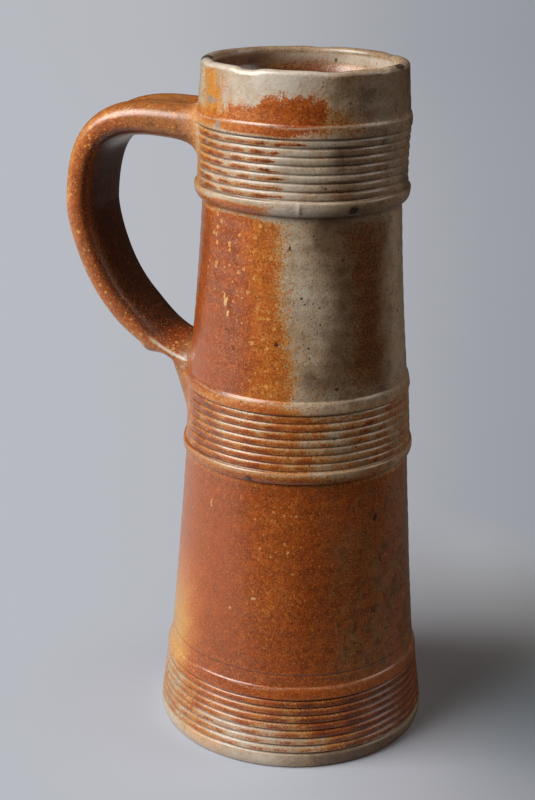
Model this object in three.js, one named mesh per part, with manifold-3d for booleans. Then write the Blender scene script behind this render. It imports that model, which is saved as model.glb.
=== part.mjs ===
// A tall tapering stoneware tankard, thrown on the wheel and combed with three bands of grooves,
// with a pulled strap handle luted on at the collar and at the waist.
// Millimetres, +Z up. The vessel's axis is the Z axis, its flat foot stands at Z = 0,
// and the handle is on the -X side.

import * as THREE from 'three';
import { mergeVertices } from 'three/addons/utils/BufferGeometryUtils.js';
import Module from 'manifold-3d';

// Heights of the turned stages, in order from the table upwards
const FOOT_HEIGHT = 6.4;
const BASE_CORDON_HEIGHT = 5.2;
const LOWER_CONE_HEIGHT = 84;
const WAIST_LOWER_CORDON_HEIGHT = 5.2;
const WAIST_UPPER_CORDON_HEIGHT = 5.2;
const UPPER_CONE_HEIGHT = 69.6;
const COLLAR_LOWER_CORDON_HEIGHT = 6;
const COLLAR_UPPER_CORDON_HEIGHT = 5.2;
const LIP_HEIGHT = 19.05;

// Combed grooves
const GROOVE_PITCH = 3.15;
const GROOVE_WIDTH = 1.5;
const GROOVE_DEPTH = 0.8;
const RIDGE_ROUNDING = 0.2;
const BASE_GROOVES = 8;
const WAIST_GROOVES = 8;
const COLLAR_GROOVES = 8;

// Outside radii at the joins of the stages
const GROUND_RADIUS = 54.2;
const FOOT_RADIUS = 55;
const BASE_BAND_RADIUS = 52.1;
const CONE_BASE_RADIUS = 50.7;
const CONE_TOP_RADIUS = 44.7;
const WAIST_LOW_RADIUS = 45.7;
const WAIST_HIGH_RADIUS = 44.3;
const SHANK_RADIUS = 43.4;
const NECK_RADIUS = 38.5;
const COLLAR_LOW_RADIUS = 40.7;
const COLLAR_HIGH_RADIUS = 40.8;
const LIP_BASE_RADIUS = 40.4;
const LIP_RADIUS = 39.1;

// How far a stretch of wall is drawn in, and how far a cordon swells out, at the middle
const FOOT_SWELL = 0.6;
const LOWER_CONE_HOLLOW = 0.25;
const UPPER_CONE_HOLLOW = 0.4;
const COLLAR_HOLLOW = 0.4;
const BASE_CORDON_SWELL = 0.8;
const WAIST_LOWER_CORDON_SWELL = 1;
const WAIST_UPPER_CORDON_SWELL = 0.7;
const COLLAR_LOWER_CORDON_SWELL = 1.3;
const COLLAR_UPPER_CORDON_SWELL = 0.5;

// Clay thicknesses, and the shallow ledge that the potter's finger left inside the mouth
const WALL = 5;
const FLOOR = 7;
const FLOOR_FILLET = 12;
const LIP_THICKNESS = 4.4;
const MOUTH_LEDGE_DEPTH = 7;

// Pulled strap handle, by its centreline and its section
const HANDLE_TOP_DROP = 7;
const HANDLE_SHOULDER_LENGTH = 23.8;
const HANDLE_CROWN_LENGTH = 46.6;
const GRIP_DROP = 36.6;
const FINGER_ROOM = 44.8;
const GRIP_LENGTH = 4.4;
const HANDLE_TAIL_LENGTH = 46.6;
const HANDLE_TAIL_RISE = 12;
const LOWER_ROOT_DROP = 1.5;
const UPPER_ROOT_SINK = 5.5;
const LOWER_ROOT_SINK = 6;
const HANDLE_TOP_WIDTH = 35.8;
const HANDLE_LOW_WIDTH = 30;
const HANDLE_TOP_THICKNESS = 15.4;
const HANDLE_GRIP_THICKNESS = 12.8;
const HANDLE_LOW_THICKNESS = 13.5;
const TAPER_START = 0.2;
const TAPER_END = 0.9;
const RIDGE_SPACING = 21;
const FURROW_DEPTH = 2;
// A section of roundness 1 is an ellipse, and a lower one is squarer
const SECTION_ROUNDNESS = 0.55;

// Luting clay smoothed into the corner between the handle and the wall: how far it runs along
// the wall and along the handle, on the outer face, at the sides and on the inner face
const UPPER_LUTING_ON_WALL = { outer: 2.2, side: 5, inner: 11 };
const UPPER_LUTING_ON_HANDLE = { outer: 5, side: 8, inner: 13 };
const LOWER_LUTING_ON_WALL = { outer: 17, side: 8, inner: 3 };
const LOWER_LUTING_ON_HANDLE = { outer: 14, side: 9, inner: 5 };
const FEATHER_EDGE = 0.8;
const LUTING_SINK = 2.3;

// The clay pieces stand this far apart, as thick as the slip between them
const SLIP_GAP = 0.3;

// Fineness of the turned, swept and smoothed surfaces
const LATHE_SEGMENTS = 36;
const CORDON_STEPS = 5;
const CONE_STEPS = 4;
const FILLET_STEPS = 6;
const HANDLE_STEPS = 34;
const SECTION_POINTS = 20;
const LUTING_STEPS = 5;

// Each root of the handle is sought in this share of its length, by halving it this many times
const ROOT_SHARE = 0.25;
const ROOT_HALVINGS = 24;

const { lerp, smoothstep } = THREE.MathUtils;

// Heights at which one turned stage meets the next
const baseBandLow = FOOT_HEIGHT;
const baseBandHigh = baseBandLow + (BASE_GROOVES - 1) * GROOVE_PITCH;
const coneBase = baseBandHigh + BASE_CORDON_HEIGHT;
const coneTop = coneBase + LOWER_CONE_HEIGHT;
const waistLow = coneTop + WAIST_LOWER_CORDON_HEIGHT;
const waistHigh = waistLow + (WAIST_GROOVES - 1) * GROOVE_PITCH;
const shankBase = waistHigh + WAIST_UPPER_CORDON_HEIGHT;
const neckTop = shankBase + UPPER_CONE_HEIGHT;
const collarLow = neckTop + COLLAR_LOWER_CORDON_HEIGHT;
const collarHigh = collarLow + (COLLAR_GROOVES - 1) * GROOVE_PITCH;
const lipBase = collarHigh + COLLAR_UPPER_CORDON_HEIGHT;
const rimHeight = lipBase + LIP_HEIGHT;

// The radius of a stretch of wall at the share t of its height. A positive bow draws it in.
function wallRadius(lowRadius, highRadius, bow, t) {
	return lerp(lowRadius, highRadius, t) - 4 * bow * t * (1 - t);
}

// A plain stretch of wall, without its two ends.
function plainWall(line, [lowRadius, low], [highRadius, high], bow, steps) {
	for (let i = 1; i < steps; i++) {
		const t = i / steps;
		line.push(new THREE.Vector2(wallRadius(lowRadius, highRadius, bow, t), lerp(low, high, t)));
	}
}

// A cordon: a raised moulding with a flat face and two rounded edges.
function cordon(line, [lowRadius, low], [highRadius, high], swell) {
	for (let i = 0; i <= CORDON_STEPS; i++) {
		const angle = Math.PI * (1 - i / CORDON_STEPS);
		const t = (1 + Math.cos(angle)) / 2;
		const rise = swell * Math.sqrt(Math.sin(angle));
		line.push(new THREE.Vector2(lerp(lowRadius, highRadius, t) + rise, lerp(low, high, t)));
	}
}

// A band of combed grooves, one pitch apart, with rounded ridges between them. Without its
// grooves it is the smooth face that the comb was pressed into.
function combedBand(line, [lowRadius, low], [highRadius, high], hollow, count, grooved) {
	for (let i = 0; i < count; i++) {
		const t = i / (count - 1);
		const radius = wallRadius(lowRadius, highRadius, hollow, t);
		const height = lerp(low, high, t);
		if (grooved) {
			line.push(new THREE.Vector2(radius - RIDGE_ROUNDING, height - GROOVE_WIDTH / 2));
			line.push(new THREE.Vector2(radius - GROOVE_DEPTH, height));
			line.push(new THREE.Vector2(radius - RIDGE_ROUNDING, height + GROOVE_WIDTH / 2));
		}
		if (i < count - 1) {
			const crest = (i + 0.5) / (count - 1);
			const crestRadius = wallRadius(lowRadius, highRadius, hollow, crest);
			line.push(new THREE.Vector2(crestRadius, lerp(low, high, crest)));
		}
	}
}

// The outside of the vessel from the ground to the rim.
function outerLine(grooved) {
	const edge = GROOVE_WIDTH / 2;
	const foot = [FOOT_RADIUS, baseBandLow];
	const baseBand = [BASE_BAND_RADIUS, baseBandHigh];
	const waistBandLow = [WAIST_LOW_RADIUS, waistLow];
	const waistBandHigh = [WAIST_HIGH_RADIUS, waistHigh];
	const collarBandLow = [COLLAR_LOW_RADIUS, collarLow];
	const collarBandHigh = [COLLAR_HIGH_RADIUS, collarHigh];
	const line = [new THREE.Vector2(GROUND_RADIUS, 0)];

	plainWall(line, [GROUND_RADIUS, 0], foot, -FOOT_SWELL, FILLET_STEPS);
	combedBand(line, foot, baseBand, 0, BASE_GROOVES, grooved);
	cordon(line, [BASE_BAND_RADIUS, baseBandHigh + edge], [CONE_BASE_RADIUS, coneBase],
		BASE_CORDON_SWELL);
	plainWall(line, [CONE_BASE_RADIUS, coneBase], [CONE_TOP_RADIUS, coneTop],
		LOWER_CONE_HOLLOW, CONE_STEPS);
	cordon(line, [CONE_TOP_RADIUS, coneTop], [WAIST_LOW_RADIUS, waistLow - edge],
		WAIST_LOWER_CORDON_SWELL);
	combedBand(line, waistBandLow, waistBandHigh, 0, WAIST_GROOVES, grooved);
	cordon(line, [WAIST_HIGH_RADIUS, waistHigh + edge], [SHANK_RADIUS, shankBase],
		WAIST_UPPER_CORDON_SWELL);
	plainWall(line, [SHANK_RADIUS, shankBase], [NECK_RADIUS, neckTop],
		UPPER_CONE_HOLLOW, CONE_STEPS);
	cordon(line, [NECK_RADIUS, neckTop], [COLLAR_LOW_RADIUS, collarLow - edge],
		COLLAR_LOWER_CORDON_SWELL);
	combedBand(line, collarBandLow, collarBandHigh, COLLAR_HOLLOW, COLLAR_GROOVES, grooved);
	cordon(line, [COLLAR_HIGH_RADIUS, collarHigh + edge], [LIP_BASE_RADIUS, lipBase],
		COLLAR_UPPER_CORDON_SWELL);
	return line;
}

// The rounded lip, from the outside over the rim to the inside of the mouth.
function lipLine() {
	const roll = LIP_THICKNESS / 2;
	const line = [];
	for (let i = 0; i <= FILLET_STEPS; i++) {
		const angle = Math.PI * i / FILLET_STEPS;
		line.push(new THREE.Vector2(LIP_RADIUS - roll + roll * Math.cos(angle),
			rimHeight - roll + roll * Math.sin(angle)));
	}
	return line;
}

// The inside of the vessel, from the mouth's ledge down to the middle of the floor.
function innerLine() {
	const ledge = rimHeight - MOUTH_LEDGE_DEPTH;
	const floorRadius = CONE_BASE_RADIUS - WALL;
	const line = [
		new THREE.Vector2(LIP_RADIUS - LIP_THICKNESS, ledge),
		new THREE.Vector2(NECK_RADIUS - WALL, ledge - (LIP_THICKNESS - LIP_RADIUS + NECK_RADIUS)),
		new THREE.Vector2(NECK_RADIUS - WALL, neckTop),
		new THREE.Vector2(SHANK_RADIUS - WALL, shankBase),
		new THREE.Vector2(CONE_TOP_RADIUS - WALL, coneTop),
	];
	for (let i = 0; i <= FILLET_STEPS; i++) {
		const angle = Math.PI / 2 * i / FILLET_STEPS;
		line.push(new THREE.Vector2(floorRadius - FLOOR_FILLET + FLOOR_FILLET * Math.cos(angle),
			FLOOR + FLOOR_FILLET - FLOOR_FILLET * Math.sin(angle)));
	}
	line.push(new THREE.Vector2(0, FLOOR));
	return line;
}

// Turns a profile about the vessel's axis.
function turned(line) {
	return new THREE.LatheGeometry(line, LATHE_SEGMENTS).rotateX(Math.PI / 2);
}

function vesselGeometry() {
	return turned([new THREE.Vector2(0, 0), ...outerLine(true), ...lipLine(), ...innerLine()]);
}

// The ungrooved outside from the ground to the rim, on which clay is luted.
const seatLine = [...outerLine(false), new THREE.Vector2(LIP_RADIUS, rimHeight)];

// It as a full solid, grown by the slip gap: what is luted on is cut by it.
function seatGeometry() {
	const grown = seatLine.map((point) => new THREE.Vector2(point.x + SLIP_GAP, point.y));
	return turned([new THREE.Vector2(0, 0), ...grown, new THREE.Vector2(0, rimHeight)]);
}

// Its radius at a height.
function seatRadius(height) {
	const next = Math.max(1, seatLine.findIndex((point) => point.y > height));
	const low = seatLine[next - 1];
	const high = seatLine[next];
	return lerp(low.x, high.x, (height - low.y) / (high.y - low.y));
}

// The handle's centreline: level out of the collar, round the crown, down the grip, and back
// into the waist.
function handleCentreline() {
	const topHeight = lipBase - HANDLE_TOP_DROP;
	const lowHeight = shankBase - LOWER_ROOT_DROP;
	const reach = NECK_RADIUS + FINGER_ROOM + HANDLE_GRIP_THICKNESS / 2;
	const at = (radius, height) => new THREE.Vector3(-radius, 0, height);
	const upperRoot = at(COLLAR_HIGH_RADIUS - UPPER_ROOT_SINK, topHeight);
	const shoulder = at(COLLAR_HIGH_RADIUS - UPPER_ROOT_SINK + HANDLE_SHOULDER_LENGTH, topHeight);
	const crown = at(reach, topHeight - GRIP_DROP + HANDLE_CROWN_LENGTH);
	const grip = at(reach, topHeight - GRIP_DROP);
	const gripEnd = at(reach, topHeight - GRIP_DROP - GRIP_LENGTH);
	const lowerRadius = SHANK_RADIUS - LOWER_ROOT_SINK;
	const tail = at(lowerRadius + HANDLE_TAIL_LENGTH, lowHeight + HANDLE_TAIL_RISE);
	const lowerRoot = at(lowerRadius, lowHeight);

	const line = new THREE.CurvePath();
	line.add(new THREE.CubicBezierCurve3(upperRoot, shoulder, crown, grip));
	line.add(new THREE.CubicBezierCurve3(grip, gripEnd, tail, lowerRoot));
	return line;
}

const centreline = handleCentreline();

// A point on the handle's skin, grown outwards by a margin: u runs along the centreline, and
// the angle runs round the section, with a quarter turn at the middle of the outer face.
function handlePoint(u, angle, margin) {
	const centre = centreline.getPointAt(u);
	const along = centreline.getTangentAt(u);
	const across = new THREE.Vector3(0, 1, 0);
	const outward = new THREE.Vector3().crossVectors(across, along);

	const taper = smoothstep(u, TAPER_START, TAPER_END);
	const width = lerp(HANDLE_TOP_WIDTH, HANDLE_LOW_WIDTH, taper);
	const evenThickness = lerp(HANDLE_TOP_THICKNESS, HANDLE_LOW_THICKNESS, u);
	const dip = (HANDLE_TOP_THICKNESS + HANDLE_LOW_THICKNESS) / 2 - HANDLE_GRIP_THICKNESS;
	const thickness = evenThickness - 4 * dip * u * (1 - u);

	const x = Math.sign(Math.cos(angle)) * Math.abs(Math.cos(angle)) ** SECTION_ROUNDNESS;
	const y = Math.sign(Math.sin(angle)) * Math.abs(Math.sin(angle)) ** SECTION_ROUNDNESS;
	const offset = x * (width / 2 + margin);
	const ridge = RIDGE_SPACING / 2 * width / HANDLE_TOP_WIDTH;
	const inFurrow = y > 0 && Math.abs(offset) < ridge;
	const furrow = inFurrow ? FURROW_DEPTH * (1 + Math.cos(Math.PI * offset / ridge)) / 2 : 0;
	return centre
		.addScaledVector(across, offset)
		.addScaledVector(outward, y * (thickness / 2 + margin) - furrow);
}

// Indices of a band of quads between two rings of points, each ring closed on itself.
function joinRings(indices, first, second, count) {
	for (let i = 0; i < count; i++) {
		const next = (i + 1) % count;
		indices.push(first + i, second + i, second + next);
		indices.push(first + i, second + next, first + next);
	}
}

// A closed skin over rings of points. A looped skin joins its last ring to its first, and any
// other skin is closed by a fan of triangles at each end.
function skin(rings, looped) {
	const count = rings[0].length;
	const points = rings.flat();
	const indices = [];
	for (let i = 0; i < rings.length - 1; i++) joinRings(indices, i * count, (i + 1) * count, count);
	if (looped) {
		joinRings(indices, (rings.length - 1) * count, 0, count);
	} else {
		const last = (rings.length - 1) * count;
		for (let i = 1; i < count - 1; i++) {
			indices.push(0, i, i + 1);
			indices.push(last, last + i + 1, last + i);
		}
	}
	const geometry = new THREE.BufferGeometry().setFromPoints(points);
	geometry.setIndex(indices);
	return geometry;
}

function handleGeometry(margin) {
	const rings = [];
	for (let i = 0; i <= HANDLE_STEPS; i++) {
		const ring = [];
		for (let j = 0; j < SECTION_POINTS; j++) {
			ring.push(handlePoint(i / HANDLE_STEPS, 2 * Math.PI * j / SECTION_POINTS, margin));
		}
		rings.push(ring);
	}
	return skin(rings, false);
}

// Where the line along the handle's skin at an angle meets the wall, as a share of the
// centreline. It is sought from the root towards the grip.
function rootShare(angle, root, grip) {
	let inside = root;
	let outside = grip;
	for (let i = 0; i < ROOT_HALVINGS; i++) {
		const middle = (inside + outside) / 2;
		const point = handlePoint(middle, angle, 0);
		if (Math.hypot(point.x, point.y) < seatRadius(point.z)) inside = middle;
		else outside = middle;
	}
	return (inside + outside) / 2;
}

// A length that depends on the direction round the handle's section.
function directed(lengths, angle) {
	const face = Math.sin(angle) > 0 ? lengths.outer : lengths.inner;
	return lerp(lengths.side, face, Math.sin(angle) ** 2);
}

// A ring of clay round one root of the handle. Its free surface is a fillet that leaves the
// wall, turns in the corner and runs out along the handle. Its back is sunk past the corner,
// and is cut off where the wall and the handle take their place.
function lutingGeometry(onWall, onHandle, root, grip) {
	const length = centreline.getLength();
	const towardsGrip = Math.sign(grip - root);
	const heart = handlePoint(rootShare(0, root, grip), 0, 0).setY(0);
	const rings = [];
	for (let j = 0; j < SECTION_POINTS; j++) {
		const angle = 2 * Math.PI * j / SECTION_POINTS;
		const share = rootShare(angle, root, grip);
		const corner = handlePoint(share, angle, 0);
		const outShare = share + towardsGrip * directed(onHandle, angle) / length;
		const handleEnd = handlePoint(outShare, angle, FEATHER_EDGE);
		const handleBack = handlePoint(outShare, angle, -LUTING_SINK);

		const azimuth = Math.atan2(corner.y, -corner.x);
		const run = new THREE.Vector2(corner.y - heart.y, corner.z - heart.z)
			.setLength(directed(onWall, angle));
		const wallHeight = corner.z + run.y;
		const wallAzimuth = azimuth + run.x / seatRadius(wallHeight);
		const wallPoint = (rise) => new THREE.Vector3(
			-(seatRadius(wallHeight) + rise) * Math.cos(wallAzimuth),
			(seatRadius(wallHeight) + rise) * Math.sin(wallAzimuth),
			wallHeight,
		);
		const wallEnd = wallPoint(SLIP_GAP + FEATHER_EDGE);
		const wallBack = wallPoint(-LUTING_SINK);

		const turn = handlePoint(share, angle, FEATHER_EDGE);
		const fillet = new THREE.QuadraticBezierCurve3(wallEnd, turn, handleEnd);
		const back = handlePoint(share, angle, -LUTING_SINK);
		rings.push([...fillet.getPoints(LUTING_STEPS), handleBack, back, wallBack]);
	}
	// Seen from the grip, the two roots turn opposite ways
	if (towardsGrip > 0) rings.reverse();
	return skin(rings, true);
}

const wasm = await Module();
wasm.setup();

// A solid that can be cut, from a closed geometry.
function solid(geometry) {
	geometry.deleteAttribute('normal');
	geometry.deleteAttribute('uv');
	const merged = mergeVertices(geometry, 1e-4);
	const corners = merged.index.array;
	const triVerts = [];
	for (let i = 0; i < corners.length; i += 3) {
		const [a, b, c] = corners.subarray(i, i + 3);
		if (a !== b && b !== c && c !== a) triVerts.push(a, b, c);
	}
	return new wasm.Manifold(new wasm.Mesh({
		numProp: 3,
		vertProperties: merged.attributes.position.array,
		triVerts: Uint32Array.from(triVerts),
	}));
}

// A geometry from a cut solid.
function geometryOf(manifold) {
	const { vertProperties, triVerts } = manifold.getMesh();
	const geometry = new THREE.BufferGeometry();
	geometry.setAttribute('position', new THREE.BufferAttribute(vertProperties, 3));
	geometry.setIndex(new THREE.BufferAttribute(triVerts, 1));
	geometry.computeVertexNormals();
	return geometry;
}

function glazed(color, roughness) {
	return new THREE.MeshStandardMaterial({ color, roughness, metalness: 0 });
}

function piece(name, geometry, material) {
	const mesh = new THREE.Mesh(geometry, material);
	mesh.name = name;
	return mesh;
}

const seat = solid(seatGeometry());
const handle = solid(handleGeometry(0)).subtract(seat);
const socket = solid(handleGeometry(SLIP_GAP));

function lutingPiece(onWall, onHandle, root, grip) {
	return geometryOf(solid(lutingGeometry(onWall, onHandle, root, grip))
		.subtract(seat)
		.subtract(socket));
}

const tankard = new THREE.Group();
tankard.add(
	piece('thrown_body', geometryOf(solid(vesselGeometry())), glazed(0xa5622f, 0.35)),
	piece('strap_handle', geometryOf(handle), glazed(0x96501f, 0.3)),
	piece('upper_luting_clay',
		lutingPiece(UPPER_LUTING_ON_WALL, UPPER_LUTING_ON_HANDLE, 0, ROOT_SHARE), glazed(0xa85f28, 0.35)),
	piece('lower_luting_clay',
		lutingPiece(LOWER_LUTING_ON_WALL, LOWER_LUTING_ON_HANDLE, 1, 1 - ROOT_SHARE), glazed(0xa15a2c, 0.35)),
);

export default tankard;
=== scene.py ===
"""A salt-glazed stoneware tankard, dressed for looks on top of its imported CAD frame.

Every clay piece of the frame is replaced by a finer one: the thrown and combed vessel, the
pulled strap handle and the two smears of luting clay that hold it on. The glaze is a
procedural material that reads a few numbers stored on the meshes, such as how much iron
wash lies on the clay. Sizes are in millimetres until a mesh is written.
"""

import math
from typing import NamedTuple

import bpy
import numpy as np
from mathutils import Matrix, Vector


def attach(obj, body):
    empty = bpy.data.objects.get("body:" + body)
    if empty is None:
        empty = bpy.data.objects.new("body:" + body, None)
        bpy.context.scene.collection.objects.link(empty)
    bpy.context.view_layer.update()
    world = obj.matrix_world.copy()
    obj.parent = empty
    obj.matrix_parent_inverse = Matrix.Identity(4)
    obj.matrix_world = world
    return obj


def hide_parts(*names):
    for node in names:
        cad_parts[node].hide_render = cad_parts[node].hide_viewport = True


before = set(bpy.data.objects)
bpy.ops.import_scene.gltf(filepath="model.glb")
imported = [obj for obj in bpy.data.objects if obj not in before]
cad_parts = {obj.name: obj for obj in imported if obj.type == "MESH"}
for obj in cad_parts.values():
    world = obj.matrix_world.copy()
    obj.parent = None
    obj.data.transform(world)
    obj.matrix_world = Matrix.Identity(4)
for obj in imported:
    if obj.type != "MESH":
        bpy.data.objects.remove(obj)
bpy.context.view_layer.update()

MM = 0.001

# The vessel's stages, from the table upwards

GROOVE_PITCH = 3.15
GROOVE_HALF_WIDTH = 0.36
GROOVES = 8
BAND_HEIGHT = (GROOVES - 1) * GROOVE_PITCH
CORDON_HEIGHT = 5.2
COLLAR_CORDON_HEIGHT = 6.0
LOWER_CONE_HEIGHT = 84.0
UPPER_CONE_HEIGHT = 69.6
LIP_HEIGHT = 19.05
LIP_THICKNESS = 4.4

FOOT_TOP = 6.4
BASE_BAND_TOP = FOOT_TOP + BAND_HEIGHT
CONE_BASE = BASE_BAND_TOP + CORDON_HEIGHT
CONE_TOP = CONE_BASE + LOWER_CONE_HEIGHT
WAIST_LOW = CONE_TOP + CORDON_HEIGHT
WAIST_HIGH = WAIST_LOW + BAND_HEIGHT
SHANK_BASE = WAIST_HIGH + CORDON_HEIGHT
NECK_TOP = SHANK_BASE + UPPER_CONE_HEIGHT
COLLAR_LOW = NECK_TOP + COLLAR_CORDON_HEIGHT
COLLAR_HIGH = COLLAR_LOW + BAND_HEIGHT
LIP_BASE = COLLAR_HIGH + CORDON_HEIGHT
RIM = LIP_BASE + LIP_HEIGHT
LIP_ROLL = LIP_THICKNESS / 2
ROLL_BASE = RIM - LIP_ROLL

GROUND_RADIUS = 54.2
CONE_BASE_RADIUS = 50.7
CONE_TOP_RADIUS = 44.7
SHANK_RADIUS = 43.4
NECK_RADIUS = 38.5
COLLAR_HIGH_RADIUS = 40.8
LIP_RADIUS = 39.1

WALL = 5.0
FLOOR = 7.0
FLOOR_FILLET = 12.0
MOUTH_LEDGE_DEPTH = 7.0
# The little round where the base meets the wall
FOOT_ROUND = 0.9

# The corners of the outside: (height, radius), then how far the stage below it is hollowed,
# and how far it swells into a cordon
CORNERS = (
    (0.0, GROUND_RADIUS, 0.0, 0.0),
    (FOOT_TOP, 55.0, -0.6, 0.0),
    (BASE_BAND_TOP, 52.1, 0.0, 0.0),
    (CONE_BASE, CONE_BASE_RADIUS, 0.0, 0.5),
    (CONE_TOP, CONE_TOP_RADIUS, 0.25, 0.0),
    (WAIST_LOW, 45.7, 0.0, 1.0),
    (WAIST_HIGH, 44.3, 0.0, 0.0),
    (SHANK_BASE, SHANK_RADIUS, 0.0, 0.7),
    (NECK_TOP, NECK_RADIUS, 0.4, 0.0),
    (COLLAR_LOW, 40.7, 0.0, 1.3),
    (COLLAR_HIGH, COLLAR_HIGH_RADIUS, 0.4, 0.0),
    (LIP_BASE, 40.4, 0.0, 0.5),
    (ROLL_BASE, LIP_RADIUS, 0.0, 0.0),
)
# Each combed band: (height of its lowest groove, the grooves' depth, how far its ridges are
# rounded off)
BANDS = (
    (FOOT_TOP, 0.95, 0.12),
    (WAIST_LOW, 0.56, 0.16),
    (COLLAR_LOW, 0.62, 0.24),
)

# The photograph is taken from this azimuth. Handwork and glaze are placed by the angle to the
# right of it, in degrees.
VIEW_AZIMUTH = math.radians(-71)
HANDLE_AZIMUTH = math.pi

SEGMENTS = 448
# How many cosines the noise of the handwork is summed from
WAVES = 7


def smooth(low, high, value):
    """A soft step from 0 at low to 1 at high. Low may be above high."""
    t = np.clip((value - low) / (high - low), 0, 1)
    return t * t * (3 - 2 * t)


def lerp(a, b, t):
    return a + (b - a) * t


def bell(value, middle, half_width):
    return np.exp(-(((value - middle) / half_width) ** 2))


def turn_from(theta, azimuth):
    """The angle from an azimuth to theta, in degrees from -180 to 180."""
    return np.degrees((theta - azimuth + math.pi) % (2 * math.pi) - math.pi)


def turn_past(theta, phi):
    """The same from a place phi degrees to the right of the camera."""
    return (turn_from(theta, VIEW_AZIMUTH) - phi + 180) % 360 - 180


def waves(theta, z, seed, lobes, length):
    """Smooth noise of about -1 to 1 over the wall, with no seam round it."""
    rng = np.random.default_rng(seed)
    total = 0
    for _ in range(WAVES):
        lobe = rng.integers(0, lobes + 1)
        rise = rng.uniform(-1, 1) / length
        total += np.cos(lobe * theta + 2 * math.pi * rise * z + rng.uniform(0, 6.28))
    return total / math.sqrt(2 * WAVES)


def stage_radius(z):
    """The ungrooved outside radius: stretches of wall, and cordons with crisp edges."""
    radius = np.full(z.shape, GROUND_RADIUS)
    for (low, low_radius, *_), (high, high_radius, hollow, swell) in zip(CORNERS, CORNERS[1:]):
        t = np.clip((z - low) / (high - low), 0, 1)
        inside = (z >= low) & (z <= high)
        rise = swell * (4 * t * (1 - t)) ** 0.3
        # A cordon wider above than below steps out at once, and then stands nearly upright
        share = t ** 0.35 if swell > 0 and high_radius > low_radius else t
        wall = lerp(low_radius, high_radius, share) - 4 * hollow * t * (1 - t) + rise
        radius = np.where(inside, wall, radius)
    return np.where(z > ROLL_BASE, LIP_RADIUS, radius)


def groove_shape(z):
    """(cut, phase, notch): how deep the comb cuts at a height, where the height lies between
    two grooves, and how far it is into a groove."""
    cut = np.zeros_like(z)
    phase = np.zeros_like(z)
    notch = np.zeros_like(z)
    last = GROOVES - 1
    for low, depth, roundness in BANDS:
        turns = (z - low) / GROOVE_PITCH
        nearest = np.clip(np.round(turns), 0, last)
        inside = (turns > 0) & (turns < last)
        ridge = np.where(inside, roundness * (2 * (turns % 1) - 1) ** 2, 0)
        here = bell(z - low, nearest * GROOVE_PITCH, GROOVE_HALF_WIDTH)
        reach = (turns > -0.5) & (turns < last + 0.5)
        deeper = depth - np.where(inside, roundness, 0)
        cut = np.where(reach, ridge + deeper * here, cut)
        notch = np.where(reach, here, notch)
        phase = np.where(inside, turns % 1, phase)
    return cut, phase, notch


def wiped(theta, z):
    """How far the potter's wet finger smoothed the combing beside the handle's roots."""
    away = np.abs(turn_from(theta, HANDLE_AZIMUTH))
    at_collar = smooth(42, 30, away) * smooth(219, 224, z) * 0.7
    at_waist = smooth(58, 27, away) * smooth(112, 118, z) * smooth(160, 152, z)
    return np.maximum(at_collar, at_waist)


# Accidents of the making: (angle, height, half width in degrees, half height, rise)
BUMPS = (
    (-42.5, 184.5, 2, 2.2, 0.55), (-40.6, 180.8, 1.4, 1.3, 0.5), (-1.5, 223, 0.9, 2.4, 0.45),
    (27, 222, 2.2, 1.2, -0.6), (-23, 118.8, 1.2, 0.9, 0.25), (-50, 250.8, 2.2, 1.6, 0.25),
    (43, 100, 1.4, 1, -0.35),
)
# Nicks in the rim: (angle, half width in degrees, depth)
RIM_NICKS = (
    (15, 8, 0.45), (-33, 7.5, 0.8), (48, 3, 0.25), (-68, 4, 0.25), (118, 6, 0.4), (171, 5, 0.3),
)
# The wavy line that a tool left above the base band, and where its middle lies from the handle
SCRATCH_HEIGHT = 38.6
SCRATCH_HALF_WIDTH = 0.42
SCRATCH_DEPTH = 0.34
SCRATCH_TURN = 71
# Where the wall gave way as the lower luting clay was pressed on
PRESSED_HEIGHT = 127
PRESSED_HALF_HEIGHT = 8.5
PRESSED_DEPTH = 1.25
# The throwing rings, outside and inside
RILLING_PITCH = 6.3
RILLING_RISE = 0.05
INNER_RING_PITCH = 8.0
INNER_RING_RISE = 0.22


def spot(theta, z, phi, height, half_width, half_height):
    """A round bump of height 1 on the wall, placed by its angle to the right of the camera."""
    across = turn_past(theta, phi)
    return np.exp(-((across / half_width) ** 2) - ((z - height) / half_height) ** 2)


def gather(theta, z, spots):
    """The sum of a table of spots, each with its strength."""
    total = 0 * z
    for *place, strength in spots:
        total += strength * spot(theta, z, *place)
    return total


def scratch(theta, z):
    """1 on the scratched line, 0 elsewhere."""
    line = z - SCRATCH_HEIGHT - 0.5 * waves(theta, 0, 9, 6, 1)
    away = np.abs(turn_from(theta, HANDLE_AZIMUTH) - SCRATCH_TURN)
    return bell(line, 0, SCRATCH_HALF_WIDTH) * (1 - smooth(95, 120, away))


def outside(theta, z):
    """The outside radius of the wall at an azimuth and a height, with all its handwork."""
    theta, z = np.broadcast_arrays(np.asarray(theta, float), np.asarray(z, float))
    sway = 0.10 * waves(theta, z, 3, 5, 90) + 0.05 * waves(theta, z, 4, 14, 40)
    cut, _, _ = groove_shape(z + sway)
    pressure = 1 + 0.16 * waves(theta, z, 5, 9, 7)
    radius = stage_radius(z + sway) - cut * pressure * (1 - wiped(theta, z))
    away = np.abs(turn_from(theta, HANDLE_AZIMUTH))
    pressed = PRESSED_DEPTH * bell(z, PRESSED_HEIGHT, PRESSED_HALF_HEIGHT) * smooth(44, 16, away)
    turns = 2 * math.pi * z / RILLING_PITCH + theta + 0.8 * waves(theta, z, 6, 3, 60)
    wobble = 0.12 * waves(theta, z, 7, 3, 120) + 0.05 * waves(theta, z, 8, 11, 25) - 0.12
    plain = smooth(0, 6, z) * smooth(RIM, RIM - 14, z)
    radius = radius - pressed - SCRATCH_DEPTH * scratch(theta, z)
    radius += (RILLING_RISE * np.cos(turns) + wobble) * plain
    return radius + gather(theta, z, BUMPS)


# Meshes

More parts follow.
